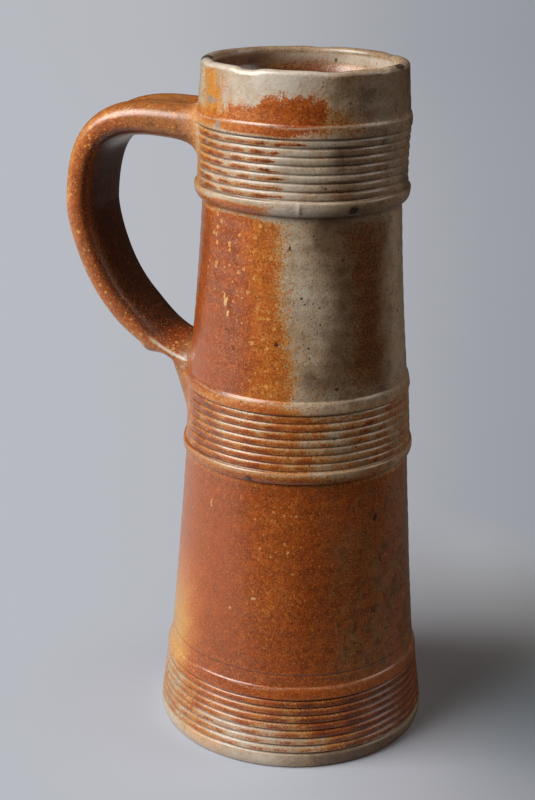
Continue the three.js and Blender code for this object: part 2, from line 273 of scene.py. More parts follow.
def add_object(name, data):
    made = bpy.data.objects.new(name, data)
    bpy.context.scene.collection.objects.link(made)
    return made


def write_mesh(name, points, faces, numbers):
    """A smooth-shaded object from points in millimetres, with one number per point and name."""
    mesh = bpy.data.meshes.new(name)
    mesh.from_pydata((np.asarray(points) * MM).tolist(), [], faces)
    mesh.update()
    for key, values in numbers.items():
        attribute = mesh.attributes.new(key, "FLOAT", "POINT")
        attribute.data.foreach_set("value", np.asarray(values, np.float32).ravel())
    mesh.polygons.foreach_set("use_smooth", np.ones(len(mesh.polygons), bool))
    return add_object(name, mesh)


def grid_faces(rows, columns, close_rows=False):
    """Quads over rows of points, each row closed on itself."""
    faces = []
    for i in range(rows if close_rows else rows - 1):
        low = i * columns
        high = (i + 1) % rows * columns
        for j in range(columns):
            k = (j + 1) % columns
            faces.append((low + j, low + k, high + k, high + j))
    return faces


# Which part of the vessel's skin a point lies on
UNDERSIDE, OUTSIDE, LIP, INSIDE = range(4)
UNDERSIDE_RINGS = (6.0, 20.0, 36.0, 50.0, GROUND_RADIUS - 1.4)
FLOOR_RINGS = (24.0, 14.0, 5.0)
# Between two rows over the combing and the cordons
FINE_STEP = 0.24


def outside_levels():
    """Heights of the rows up the outside: close over the combing and the cordons."""
    return np.concatenate([
        np.linspace(FOOT_ROUND, 5.4, 8)[1:],
        np.arange(5.6, CONE_BASE + 1, FINE_STEP),
        np.arange(CONE_BASE + 1.3, 41, 0.3),
        np.linspace(42, CONE_TOP - 1.2, 60),
        np.arange(CONE_TOP - 0.8, SHANK_BASE + 1, FINE_STEP),
        np.linspace(SHANK_BASE + 1.4, NECK_TOP - 1.2, 64),
        np.arange(NECK_TOP - 0.8, LIP_BASE + 1, FINE_STEP),
        np.linspace(LIP_BASE + 1.4, ROLL_BASE, 22),
    ])


def inside_line():
    """(radius, height) from the lip down the inside and over the floor."""
    ledge = RIM - MOUTH_LEDGE_DEPTH
    neck = NECK_RADIUS - WALL
    floor_radius = CONE_BASE_RADIUS - WALL
    fillet_top = FLOOR + FLOOR_FILLET
    line = [(LIP_RADIUS - LIP_THICKNESS, z) for z in np.linspace(ROLL_BASE - 1, ledge, 6)]
    line += [(neck + 0.5, ledge - 1.6), (neck, ledge - 3.2)]
    line += [(neck, z) for z in np.arange(ledge - 5, NECK_TOP, -1.6)]
    heights = np.arange(NECK_TOP, fillet_top, -2.2)
    radii = np.interp(heights, (fillet_top, CONE_TOP, SHANK_BASE, NECK_TOP),
                      (floor_radius, CONE_TOP_RADIUS - WALL, SHANK_RADIUS - WALL, neck))
    line += zip(radii, heights)
    for angle in np.linspace(0, math.pi / 2, 8):
        line.append((floor_radius - FLOOR_FILLET * (1 - math.cos(angle)),
                     FLOOR + FLOOR_FILLET * (1 - math.sin(angle))))
    return line + [(radius, FLOOR) for radius in FLOOR_RINGS]


def lip_rows(theta):
    """(radius, height) of each row over the lip, with its nicks."""
    dip = 0.3 + 0.14 * waves(theta, 0, 11, 4, 1) + 0.05 * waves(theta, 0, 12, 23, 1)
    for step in np.linspace(0.06, 1, 14):
        angle = step * math.pi
        bulge = math.sin(angle) ** 0.8
        z = ROLL_BASE + LIP_ROLL * bulge - dip * bulge
        radius = outside(theta, ROLL_BASE) - LIP_ROLL + LIP_ROLL * math.cos(angle)
        for phi, half_width, depth in RIM_NICKS:
            nick = np.exp(-((np.abs(turn_past(theta, phi)) / half_width) ** 3.0))
            z -= depth * nick * bulge
            radius -= 0.5 * depth * nick * max(0, math.cos(angle))
        yield radius, z


def vessel_rows(theta):
    """(radius, height, part) of each row of the skin, from under the base over the lip to the
    floor."""
    for radius in UNDERSIDE_RINGS:
        yield radius, 0.0, UNDERSIDE
    corner = outside(theta, FOOT_ROUND) - FOOT_ROUND
    for step in (0.3, 0.65, 1.0):
        angle = step * math.pi / 2
        yield (corner + FOOT_ROUND * math.sin(angle),
               FOOT_ROUND - FOOT_ROUND * math.cos(angle), OUTSIDE)
    for z in outside_levels():
        yield outside(theta, z), z, OUTSIDE
    for radius, z in lip_rows(theta):
        yield radius, z, LIP
    for radius, z in inside_line():
        ring = INNER_RING_RISE * np.cos(2 * math.pi * z / INNER_RING_PITCH + theta)
        ring = ring * smooth(RIM - 6, RIM - 14, z) * smooth(FLOOR, FLOOR + 14, z)
        yield radius + ring + 0.1 * waves(theta, z, 14, 4, 60), z, INSIDE


def build_vessel():
    theta = np.arange(SEGMENTS) * 2 * math.pi / SEGMENTS
    rows = list(vessel_rows(theta))
    points = np.concatenate([
        np.stack(np.broadcast_arrays(radius * np.cos(theta), radius * np.sin(theta), z), -1)
        for radius, z, _ in rows])
    faces = grid_faces(len(rows), SEGMENTS)
    under = len(points)
    floor = under + 1
    last = (len(rows) - 1) * SEGMENTS
    for j in range(SEGMENTS):
        k = (j + 1) % SEGMENTS
        faces.append((under, k, j))
        faces.append((floor, last + j, last + k))
    points = np.concatenate([points, [(0, 0, 0), (0, 0, FLOOR)]])
    part = np.append(np.repeat([part for *_, part in rows], SEGMENTS), [UNDERSIDE, INSIDE])
    azimuth = np.append(np.tile(theta, len(rows)), [0, 0])
    return write_mesh("tankard_body", points, faces, body_glaze(points, azimuth, part))


# Where the glaze lies

# Regions of iron wash, later ones over earlier ones: (from angle, to angle, from height,
# to height, soft edge in degrees, soft edge in height, iron, warmth)
REGIONS = (
    # lower cone: rust in front, browner to the right, golden low on the left
    (22, 80, 34, 117, 12, 10, 0.86, 0.47),
    (-48, 19, 34, 117, 15, 10, 0.98, 0.45),
    (-18, 2, 66, 113, 9, 12, 0.98, 0.53),
    (-90, -55, 18, 66, 12, 22, 0.60, 0.84),
    # base band and foot
    (-200, -50, -5, 28.5, 12, 1.5, 0.20, 0.70),
    (-46, -4, -5, 28.5, 12, 1.5, 0.62, 0.62),
    (-4, 200, -5, 28.5, 12, 1.5, 0.66, 0.42),
    (-200, 200, -5, 15, 5, 5, 0.32, 0.58),
    (-34, 6, 5, 17.5, 12, 2.5, 0.18, 0.52),
    (22, 120, 6, 28.5, 14, 1.5, 0.76, 0.32),
    (-200, 200, -5, 6.6, 5, 1.2, 0.06, 0.50),
    # the foot's right: its dim tone is partly its own greenish-brown glaze and partly painted
    # contact shade
    (4, 200, -5, 6.6, 12, 1.2, 0.20, 0.12),
    (50, 200, -5, 6.6, 10, 1.2, 0.10, 0.30),
    (-62, -26, 1, 8.5, 12, 3, 0.44, 0.80),
    # waist
    (-200, -50, 116, 151, 10, 1, 0.70, 0.50),
    (-50, -14, 116, 151, 12, 1, 0.42, 0.60),
    (-14, 0, 116, 151, 12, 1, 0.46, 0.58),
    (4, 50, 116, 149, 13, 1, 0.20, 0.44),
    (30, 100, 116, 151, 12, 1, 0.36, 0.38),
    (-46, 14, 116, 120.5, 12, 1, 0.88, 0.55),
    (10, 40, 116, 119.5, 9, 1, 0.66, 0.48),
    (-40, 0, 145.5, 148, 12, 1, 0.86, 0.54),
    # upper wall: rust on the left, a golden edge, pale in front, brown to the right
    (-100, -36, 149, 220, 12, 1, 1.02, 0.45),
    (-38, -24, 152, 220, 6, 5, 1.02, 0.44),
    (-24, -6, 149, 220, 7, 1, 0.98, 0.64),
    (-4, 52, 148, 224, 13, 3, 0.02, 0.46),
    (0, 30, 148, 164, 10, 7, 0.20, 0.36),
    (18, 62, 150, 222, 8, 6, 0.10, 0.18),
    (28, 49, 156, 217, 9, 9, 0.70, 0.20),
    (55, 100, 150, 220, 9, 4, 0.12, 0.40),
    # collar
    (-110, -56, 218, 253, 9, 1, 0.38, 0.74),
    (-60, -14, 218, 253, 9, 1, 0.04, 0.62),
    (-14, 40, 218, 253, 10, 1, -0.04, 0.47),
    (20, 100, 218, 253, 10, 1, 0.20, 0.27),
    (-90, -16, 219, 223.4, 10, 0.8, 0.90, 0.56),
    (-46, -6, 249, 251.4, 9, 0.5, 0.98, 0.46),
    # lip
    (-110, 110, 253.2, 280, 5, 1.2, 0.04, 0.54),
    (-68, -49, 252, 270, 9, 2.5, 0.62, 0.80),
    (-84, -20, 250.5, 255, 9, 2, 0.86, 0.64),
    (-42, -20, 250.5, 258.5, 8, 3, 0.92, 0.60),
    (-24, 4, 250.5, 263.5, 8, 5, 1.10, 0.55),
    (-6, 12, 250.5, 261, 11, 5, 1.06, 0.44),
    (14, 100, 253, 272, 10, 2, 0.12, 0.22),
    (6, 30, 250.5, 257, 12, 4, 0.56, 0.34),
)
# Where the wash pooled in a stripe along the ridges: (from angle, to angle, band, strength)
STRIPES = (
    (-75, -8, COLLAR_LOW, COLLAR_HIGH, 1.2),
    (-80, -12, WAIST_LOW, WAIST_HIGH, 0.85),
    (-12, 200, WAIST_LOW, WAIST_HIGH, 0.32),
    (-200, 200, FOOT_TOP, BASE_BAND_TOP, 0.55),
)
# Stains by kind: (angle, height, half width in degrees, half height, strength)
STAINS = {"dark_stain": (
    (27, 222, 2.6, 1.4, 1), (-23, 118.8, 1.7, 1.2, 0.9), (43, 100, 1.6, 1.5, 0.8),
    (47, 82, 1.8, 2.4, 0.45), (22, 97, 0.9, 0.8, 0.8), (-11.5, 172, 1.5, 1, 0.8),
    (-36, 168, 1.2, 1.1, 0.6), (20, 155, 1.3, 0.5, 0.9), (12, 153, 0.8, 0.5, 0.7),
    (-6, 208, 0.7, 0.8, 0.8), (8, 196, 0.5, 0.5, 0.8), (-142, 266, 3.4, 1.9, 1),
    (-127, 266.5, 1.4, 0.9, 0.8), (160, 267, 1.4, 0.8, 0.8), (-153, 263.5, 0.9, 0.6, 0.8),
    (-112, 267.5, 0.9, 0.5, 0.7), (-134, 262, 0.8, 0.6, 0.8), (176, 264.5, 0.8, 0.5, 0.8),
    (-88, 271.6, 7, 1.6, 0.9), (64, 271.6, 6, 1.6, 0.8),
), "grey_stain": (
    (-50, 250.6, 3, 1.8, 0.6), (-66, 232, 2.8, 2, 0.6), (-67, 227, 2.4, 1.6, 0.6),
    (-62, 243, 2.6, 1.5, 0.5), (-58, 258.5, 7, 2.2, 0.55),
), "cream_stain": (
    (-42.8, 184.8, 1.3, 1.9, 0.9), (-41, 180.8, 1.1, 1.3, 0.75), (-44.6, 187, 0.9, 1, 0.7),
    (-18.7, 70, 1.5, 0.4, 0.8), (-30.6, 64, 0.9, 0.9, 0.8), (-5, 93.5, 1.6, 1.3, 0.5),
    (-3, 90, 1, 0.8, 0.6), (-4, 79, 0.9, 0.9, 0.5), (-46, 104, 0.9, 1.8, 0.5),
)}
# Where smoke darkened the pale clay
SMOKE = (
    (14, 213, 9, 7, 0.34), (24, 196, 6, 16, 0.10), (10, 157, 10, 5, 0.14), (19, 171, 7, 9, 0.12),
    (20, 238, 12, 14, 0.14),
)
# Sharp upper edges, off which the wash ran: (height, strength)
EDGES = (
    (FOOT_TOP - 0.9, 0.4), (CONE_BASE - 0.6, 0.25), (WAIST_LOW - 0.9, 0.6),
    (SHANK_BASE - 0.6, 0.6), (COLLAR_LOW - 0.9, 0.6), (LIP_BASE - 0.6, 0.7),
)


def region_mask(phi, z, left, right, low, high, soft_phi, soft_z):
    across = smooth(left - soft_phi, left + soft_phi, phi)
    across *= smooth(right + soft_phi, right - soft_phi, phi)
    return across * smooth(low - soft_z, low + soft_z, z) * smooth(high + soft_z, high - soft_z, z)


def most(*numbers):
    return np.maximum.reduce(np.broadcast_arrays(*numbers))


def wavering_edges(theta, z, phi, phase):
    """The angle and the height that the wash is placed by, so that its edges waver."""
    drift = phi + 2.6 * waves(theta, z, 21, 7, 45) + 2.0 * waves(theta, z, 22, 26, 12)
    # Up the upper wall the wash in front leans to the left
    lean = 10.0 * np.clip((z - 153) / 66, 0, 1) * smooth(149, 153, z) * smooth(221, 217, z)
    drift += lean * smooth(24, 8, phi)
    drift += 4.0 * waves(theta, z, 37, 34, 10) * smooth(251, 255, z)
    # Along the ridges each patch of wash ends where it likes
    drift += (phase > 0) * 9 * waves(theta, np.floor(z / GROOVE_PITCH), 29, 3, 0.9)
    level = z + 0.6 * waves(theta, z, 23, 12, 60)
    level += 0.7 * waves(theta, z, 28, 60, 6) * smooth(252, 255, z)
    return drift, level


def outside_wash(theta, z, phi, phase, drift, level):
    """How much iron wash lies on the outside, and how warm its colour is."""
    iron = np.full(len(z), 0.92)
    warmth = np.full(len(z), 0.48)
    for *region, amount, tone in REGIONS:
        mask = region_mask(drift, level, *region)
        iron = lerp(iron, amount, mask)
        warmth = lerp(warmth, tone, mask)
    iron += 0.16 * (phase > 0) * waves(theta, np.floor(z / GROOVE_PITCH), 35, 34, 0.8)
    warmth -= gather(theta, z, SMOKE)
    streak = waves(theta, z, 34, 70, 60) * smooth(252, 256, z) * smooth(-22, -40, phi)
    iron += 0.15 * streak
    warmth -= 0.06 * streak

    # Behind, out of the photograph's sight: rust, with pale and brown clouds
    behind = smooth(88, 120, np.abs(phi))
    cloud = smooth(-0.4, 0.7, waves(theta, z, 24, 4, 110))
    bare = most(0.65 * smooth(13, 5, z), 0.6 * smooth(251, 259, z))
    iron = lerp(iron, lerp(0.55, 1.0, cloud) * (1 - bare), behind)
    warmth = lerp(warmth, lerp(0.34, 0.56, cloud), behind)
    return iron, warmth


def body_glaze(points, theta, part):
    """The numbers that the glaze reads, for each point of the vessel."""
    z = points[:, 2]
    phi = turn_from(theta, VIEW_AZIMUTH)
    _, phase, notch = groove_shape(z)
    drift, level = wavering_edges(theta, z, phi, phase)
    iron, warmth = outside_wash(theta, z, phi, phase, drift, level)
    # The far wall inside is painted by how the key light falls on it: lit is 1 on its right, where
    # the light falls, and 0 on its shaded left
    lit = smooth(-0.3, 0.6, np.sin(np.radians(phi)) + 0.4 * waves(theta, z, 25, 6, 30))
    deep = smooth(268.5, 262, z)
    rim_side = smooth(120, 60, np.abs(phi - 10))
    on_lip, on_outside, on_inside = part == LIP, part == OUTSIDE, part == INSIDE
    iron = np.where(part == UNDERSIDE, 0.12, iron)
    iron = np.where(on_lip, lerp(0.10, 0.06, rim_side), iron)
    warmth = np.where(on_lip, lerp(0.30, 0.56, rim_side), warmth)
    # Painted light and shade inside: pale with little iron where it is lit, browner with more iron
    # where it lies in shade
    iron = np.where(on_inside, lerp(lerp(0.30, 0.0, lit), 0.7, deep), iron)
    warmth = np.where(on_inside, lerp(lerp(0.12, 0.56, lit), 0.28, deep), warmth)

    combed = on_outside * (1 - wiped(theta, z))
    stripe = most(0 * z, *(strength * region_mask(drift, z, *region, 9, 0.2)
                           for *region, strength in STRIPES))
    runs = 0.75 + 0.45 * waves(theta, z, 26, 40, 5)
    stripe = stripe * combed * runs * bell(phase, 0.4, 0.23)
    edge = sum(strength * bell(level, height, 0.36) for height, strength in EDGES) * combed
    freckle = most(
        region_mask(phi, z, -66, -4, 150, 222, 12, 4) * smooth(155, 200, z),
        0.95 * region_mask(drift, z, -32, -6, 150, 220, 8, 2),
        0.7 * region_mask(drift, z, -24, 6, 60, 114, 10, 8),
        0.35 * region_mask(phi, z, -70, 30, 0, 250, 10, 5),
    )
    lip = most(
        smooth(253, 261, z) * smooth(-50, -46, phi) * lerp(0.5, 1.0, smooth(-36, -24, phi))
        * smooth(16, -4, phi),
        on_lip * smooth(-120, -90, phi) * smooth(40, 0, phi),
        0.55 * smooth(7, 4, z) * smooth(10, -14, phi),
        0.65 * region_mask(drift, z, -16, 4, 218, 252, 9, 2),
        region_mask(drift, z, -16, 6, 219, 223.5, 6, 0.8),
        0.35 * region_mask(drift, z, -34, 4, 5, 18, 10, 3),
    )
    # On the inside, the pale clay paints light on the lit side, above the deep part
    lip = np.where(on_inside, 0.8 * lit * (1 - deep), lip) * (part != UNDERSIDE)
    pooling_and_shade = most(
        notch * combed,
        0.4 * scratch(theta, z) * on_outside,
        # painted contact shade on the foot's right, darker towards the table
        0.6 * smooth(7, 4, z) * smooth(6, 26, phi) * on_outside,
        # painted shade on the inside's shaded side
        0.7 * (1 - lit) * on_inside,
    )
    in_front = smooth(-24, 6, phi) * smooth(60, 90, z) * on_outside
    calm = most(0.45 * region_mask(phi, z, -78, -26, 44, 112, 12, 10),
                0.35 * region_mask(phi, z, -90, -50, 146, 176, 8, 10)) * on_outside
    olive = region_mask(phi, z, 20, 100, 34, 114, 14, 8)
    olive *= 0.85 + 0.4 * waves(theta, z, 33, 5, 70) + 0.4 * waves(theta, z, 36, 40, 9)
    return {
        "iron": iron, "warmth": warmth, "groove": pooling_and_shade * lerp(1.0, 0.35, in_front),
        "stripe": stripe, "edge": edge, "freckle": freckle, "lip": lip, "olive": olive,
        "calm": calm, **{kind: gather(theta, z, spots) for kind, spots in STAINS.items()},
    }


# The pulled strap handle and its luting clay

TOP_WIDTH = 35.8
LOW_WIDTH = 30.0
TOP_THICKNESS = 15.4
GRIP_THICKNESS = 12.8
LOW_THICKNESS = 13.5
HANDLE_TOP = LIP_BASE - 7.0
HANDLE_LOW = SHANK_BASE - 1.5
UPPER_ROOT = COLLAR_HIGH_RADIUS - 5.5
LOWER_ROOT = SHANK_RADIUS - 6.0
FINGER_ROOM = 44.8
REACH = NECK_RADIUS + FINGER_ROOM + GRIP_THICKNESS / 2
SHOULDER_LENGTH = 23.8
CROWN_LENGTH = 46.6
GRIP_DROP = 36.6
GRIP_LENGTH = 4.4
TAIL_LENGTH = 46.6
TAIL_RISE = 12.0
RIDGE_SPACING = 21.0
FURROW_DEPTH = 2.0
# How round the section's corners are: 1 makes an ellipse, less makes a box
OUTER_ROUNDNESS = 0.70
INNER_ROUNDNESS = 0.66
TAIL_ROUNDNESS = 1.05

# Where the lower clay was pinched up into a knuckle and down into a neck, as shares of the
# handle's length
KNUCKLE = 0.862
KNUCKLE_RISE = 1.2
NECK_FROM_KNUCKLE = 0.052
NECK_PINCH = 2.0
# Its sharp near edge, as an angle round the section, and how far it stands out
ARRIS = 3.36
ARRIS_RISE = 0.45
# The crown's shoulder, made pale by thin wash and a painted highlight, as an angle round the
# section
SHOULDER = 2.68

HANDLE_RINGS = 300
SECTION_POINTS = 112


def bezier(corners, t):
    a, b, c, d = (np.array(corner, float) for corner in corners)
    t = t[:, None]
    return (1 - t) ** 3 * a + 3 * (1 - t) ** 2 * t * b + 3 * (1 - t) * t ** 2 * c + t ** 3 * d


def handle_line():
    """Points along the centreline as (distance out from the axis, height)."""
    grip = HANDLE_TOP - GRIP_DROP
    upper = ((UPPER_ROOT, HANDLE_TOP), (UPPER_ROOT + SHOULDER_LENGTH, HANDLE_TOP),
             (REACH, grip + CROWN_LENGTH), (REACH, grip))
    tail = (LOWER_ROOT + TAIL_LENGTH, HANDLE_LOW + TAIL_RISE)
    lower = ((REACH, grip), (REACH, grip - GRIP_LENGTH), tail, (LOWER_ROOT, HANDLE_LOW))
    t = np.linspace(0, 1, 400)
    return np.concatenate([bezier(upper, t), bezier(lower, t)[1:]])


LINE = handle_line()
LINE_STEPS = np.concatenate([[0], np.cumsum(np.hypot(*np.diff(LINE, axis=0).T))])
LINE_LENGTH = LINE_STEPS[-1]


def on_line(distance):
    """The centreline's point at a distance along it."""
    return np.stack([np.interp(distance, LINE_STEPS, LINE[:, k]) for k in (0, 1)], -1)


def handle_point(u, angle, margin=0.0):
    """A point of the handle's skin, or a margin off it, at a share of its length and an angle
    round its section."""
    u, angle = np.broadcast_arrays(np.asarray(u, float), np.asarray(angle, float))
    here = u * LINE_LENGTH
    centre = on_line(here)
    along = on_line(here + 0.5) - on_line(here - 0.5)
    along = along / np.linalg.norm(along, axis=-1, keepdims=True)
    outward = np.stack([-along[..., 1], along[..., 0]], -1)

    width = lerp(TOP_WIDTH, LOW_WIDTH, smooth(0.2, 0.9, u))
    dip = (TOP_THICKNESS + LOW_THICKNESS) / 2 - GRIP_THICKNESS
    thickness = lerp(TOP_THICKNESS, LOW_THICKNESS, u) - 4 * dip * u * (1 - u)
    roundness = np.where(np.sin(angle) > 0, OUTER_ROUNDNESS, INNER_ROUNDNESS)
    # Towards the tail the strap was squeezed to an edge at its sides
    roundness = lerp(roundness, TAIL_ROUNDNESS, smooth(0.76, 0.9, u))
    x = np.sign(np.cos(angle)) * np.abs(np.cos(angle)) ** roundness
    y = np.sign(np.sin(angle)) * np.abs(np.sin(angle)) ** roundness
    arris = ARRIS_RISE * bell(angle, ARRIS, 0.12) * smooth(0.84, 0.87, u)
    offset = x * (width / 2 + margin + arris * smooth(1.0, 0.95, u))
    ridge = RIDGE_SPACING / 2 * width / TOP_WIDTH
    furrow = np.where((y > 0) & (np.abs(offset) < ridge),
                      FURROW_DEPTH * (1 + np.cos(math.pi * offset / ridge)) / 2, 0)
    rise = y * (thickness / 2 + margin) - furrow
    rise = rise + 0.12 * waves(2 * angle, here, 31, 3, 30) - 0.22
    pinch = KNUCKLE_RISE * bell(u, KNUCKLE, 0.017)
    pinch -= NECK_PINCH * bell(u - KNUCKLE, NECK_FROM_KNUCKLE, 0.03)
    rise += pinch * smooth(-0.05, 0.7, np.sin(angle))
    out = centre[..., 0] + outward[..., 0] * rise
    height = centre[..., 1] + outward[..., 1] * rise
    return np.stack([-out, offset, height], -1)


def handle_glaze(u, angle):
    """The numbers that the glaze reads on the handle: dark inside the loop, from browner glaze and
    painted shade, flecked outside, with painted highlights on the crown's shoulder and the
    knuckle.
    """
    u, angle = (values.ravel() for values in np.broadcast_arrays(u, angle))
    # Inside the loop the glaze is darker, partly browner glaze and partly painted shade
    inner_glaze_and_shade = smooth(0.35, -0.75, np.sin(angle)) * smooth(0.08, 0.25, u) * smooth(0.985, 0.88, u)
    patch = waves(angle, u * LINE_LENGTH, 32, 3, 18)
    # Along the crown's shoulder the wash is thin and the clay shows pale, and that pale band is
    # also a painted highlight; at the knuckle the pale streak is a painted highlight
    thin_wash_and_highlight = bell(angle, SHOULDER, 0.24) * smooth(0.05, 0.12, u) * smooth(0.46, 0.3, u)
    thin_wash_and_highlight *= lerp(0.15, 1.0, smooth(0.1, 0.2, u))
    knuckle_highlight = bell(angle, ARRIS, 0.11) * smooth(0.845, 0.87, u) * smooth(0.965, 0.94, u)
    root = smooth(0.83, 0.91, u)
    bend = bell(u, 0.38, 0.12)
    warmth = 0.60 + 0.08 * patch + 0.16 * bend - 0.05 * root
    return {
        **dict.fromkeys(("groove", "stripe", "edge", "calm", *STAINS), 0 * u),
        "iron": lerp(0.84 + 0.06 * patch, 1.0, inner_glaze_and_shade) - 0.12 * thin_wash_and_highlight - 0.75 * knuckle_highlight,
        "warmth": lerp(warmth, lerp(0.04, 0.24, root), inner_glaze_and_shade),
        "freckle": lerp(1.2 - 0.5 * smooth(0.3, 0.1, u), 0.7 * root, inner_glaze_and_shade),
        "lip": most(0.35 * thin_wash_and_highlight, knuckle_highlight),
        "olive": lerp(0.35 + 0.35 * smooth(0.24, 0.14, u) - 0.35 * bend, 0, inner_glaze_and_shade),
    }


def build_handle():
    u = np.linspace(0, 1, HANDLE_RINGS)[:, None]
    angle = (np.arange(SECTION_POINTS) * 2 * math.pi / SECTION_POINTS)[None, :]
    points = handle_point(u, angle).reshape(-1, 3)
    faces = grid_faces(HANDLE_RINGS, SECTION_POINTS)
    last = (HANDLE_RINGS - 1) * SECTION_POINTS
    faces.append(tuple(range(SECTION_POINTS)))
    faces.append(tuple(last + j for j in reversed(range(SECTION_POINTS))))
    return write_mesh("handle_strap", points, faces, handle_glaze(u, angle))


class Luting(NamedTuple):
    """The clay round one root of the handle."""

    name: str
    # How far it runs on the wall and on the handle: (outer, side, inner)
    on_wall: tuple
    on_handle: tuple
    # The root is sought between these shares of the handle's length
    root: float
    grip: float
    # How narrow and how full the tongue is that runs from it down the wall
    narrow: float
    full: float
    # What its middle adds to the warmth, and its least olive tint
    warmer: float
    olive: float


UPPER_LUTING = Luting("upper_luting", (2.2, 5.0, 11.0), (5.0, 8.0, 13.0), 0.0, 0.25,
                      1.0, 0.0, 0.02, 0.3)
LOWER_LUTING = Luting("lower_luting", (22.0, 5.0, 3.0), (9.0, 8.0, 5.0), 1.0, 0.75,
                      0.4, 4.6, -0.03, 0.8)
LUTING_STEPS = 22
LUTING_RINGS = 176
# How deep the clay's hidden back lies, and how deep its feathered edges
SINK = 1.6
EDGE_SINK = 0.12


def directed(lengths, angle):
    """Between (outer, side, inner) lengths, by the angle round the section."""
    face = np.where(np.sin(angle) > 0, lengths[0], lengths[2])
    return lerp(lengths[1], face, np.sin(angle) ** 2)


def root_share(angle, root, grip):
    """Where the handle's skin meets the wall, as a share of its length, by halving."""
    inside = np.full(angle.shape, float(root))
    beyond = np.full(angle.shape, float(grip))
    for _ in range(30):
        middle = (inside + beyond) / 2
        point = handle_point(middle, angle)
        theta = np.arctan2(point[:, 1], point[:, 0])
        within = np.hypot(point[:, 0], point[:, 1]) < outside(theta, point[:, 2])
        inside = np.where(within, middle, inside)
        beyond = np.where(within, beyond, middle)
    return (inside + beyond) / 2


def wall_point(theta, z, rise):
    radius = outside(theta, z) + rise
    return np.stack([radius * np.cos(theta), radius * np.sin(theta), z], -1)


def build_luting(clay):
    angle = np.arange(LUTING_RINGS) * 2 * math.pi / LUTING_RINGS
    share = root_share(angle, clay.root, clay.grip)
    towards = math.copysign(1, clay.grip - clay.root)
    reach = towards * directed(clay.on_handle, angle) / LINE_LENGTH
    corner = handle_point(share, angle)
    handle_end = handle_point(share + reach, angle)

    # From the middle of the root the clay runs outwards on the wall, and below it is gathered
    # into the tongue
    side = np.zeros(1)
    heart = handle_point(root_share(side, clay.root, clay.grip), side)[0, 2]
    below = smooth(0, 0.6, np.sin(angle))
    run = np.stack([corner[:, 1] * lerp(1, clay.narrow, below), corner[:, 2] - heart], -1)
    run = run / np.linalg.norm(run, axis=1, keepdims=True)
    run *= directed(clay.on_wall, angle)[:, None]
    theta = np.arctan2(corner[:, 1], corner[:, 0])
    wall_height = corner[:, 2] + run[:, 1]
    wall_theta = theta - run[:, 0] / outside(theta, wall_height)
    wall_end = wall_point(wall_theta, wall_height, 0)
    away = np.stack([np.cos(theta), np.sin(theta), 0 * theta], -1)
    heel = corner + away * (clay.full * below)[:, None]

    rows = [wall_point(wall_theta + 0.08 * (wall_theta - theta),
                       wall_height + 0.08 * (wall_height - corner[:, 2]), -EDGE_SINK)]
    shares = np.linspace(0, 1, LUTING_STEPS)
    for t in shares:
        fillet = (1 - t) ** 2 * wall_end + 2 * (1 - t) * t * heel + t ** 2 * handle_end
        # It feathers into the wall at one end and into the handle at the other
        skin = handle_point(share + reach * t, angle)
        wall = wall_point(lerp(wall_theta, theta, t), lerp(wall_height, corner[:, 2], t), 0)
        point = lerp(fillet, skin, smooth(0.6, 1.0, t))
        rows.append(lerp(wall, point, smooth(0.0, 0.24, t)))
    rows += [handle_point(share + reach * 1.06, angle, -EDGE_SINK),
             handle_point(share + reach * 1.06, angle, -SINK),
             handle_point(share, angle, -SINK), wall_point(wall_theta, wall_height, -SINK)]
    points = np.concatenate(rows)
    faces = grid_faces(len(rows), LUTING_RINGS, close_rows=True)

    # The glaze runs on from the wall's to the handle's
    blend = np.repeat(np.concatenate([[0], shares, [1, 1, 1, 0]]), LUTING_RINGS)
    azimuth = np.arctan2(points[:, 1], points[:, 0])
    wall_numbers = body_glaze(points, azimuth, np.full(len(points), OUTSIDE))
    strap_numbers = handle_glaze(share + reach * blend.reshape(len(rows), -1), angle)
    numbers = {key: lerp(wall_numbers[key], strap_numbers[key], smooth(0.05, 0.85, blend))
               for key in wall_numbers}
    for key in ("groove", "stripe", "edge"):
        numbers[key] *= smooth(0.3, 0.0, blend)
    middle = np.sin(math.pi * blend)
    numbers["warmth"] += clay.warmer * middle
    numbers["olive"] = most(numbers["olive"], clay.olive * middle)
    numbers["freckle"] = most(numbers["freckle"], middle)
    return write_mesh(clay.name, points, faces, numbers)


# The glaze

def srgb(red, green, blue):
    """A colour written as sRGB 0 to 255, as the shader takes it."""
    out = []
    for value in (red, green, blue):
        value /= 255
        out.append(value / 12.92 if value <= 0.04045 else ((value + 0.055) / 1.055) ** 2.4)
    return (*out, 1.0)


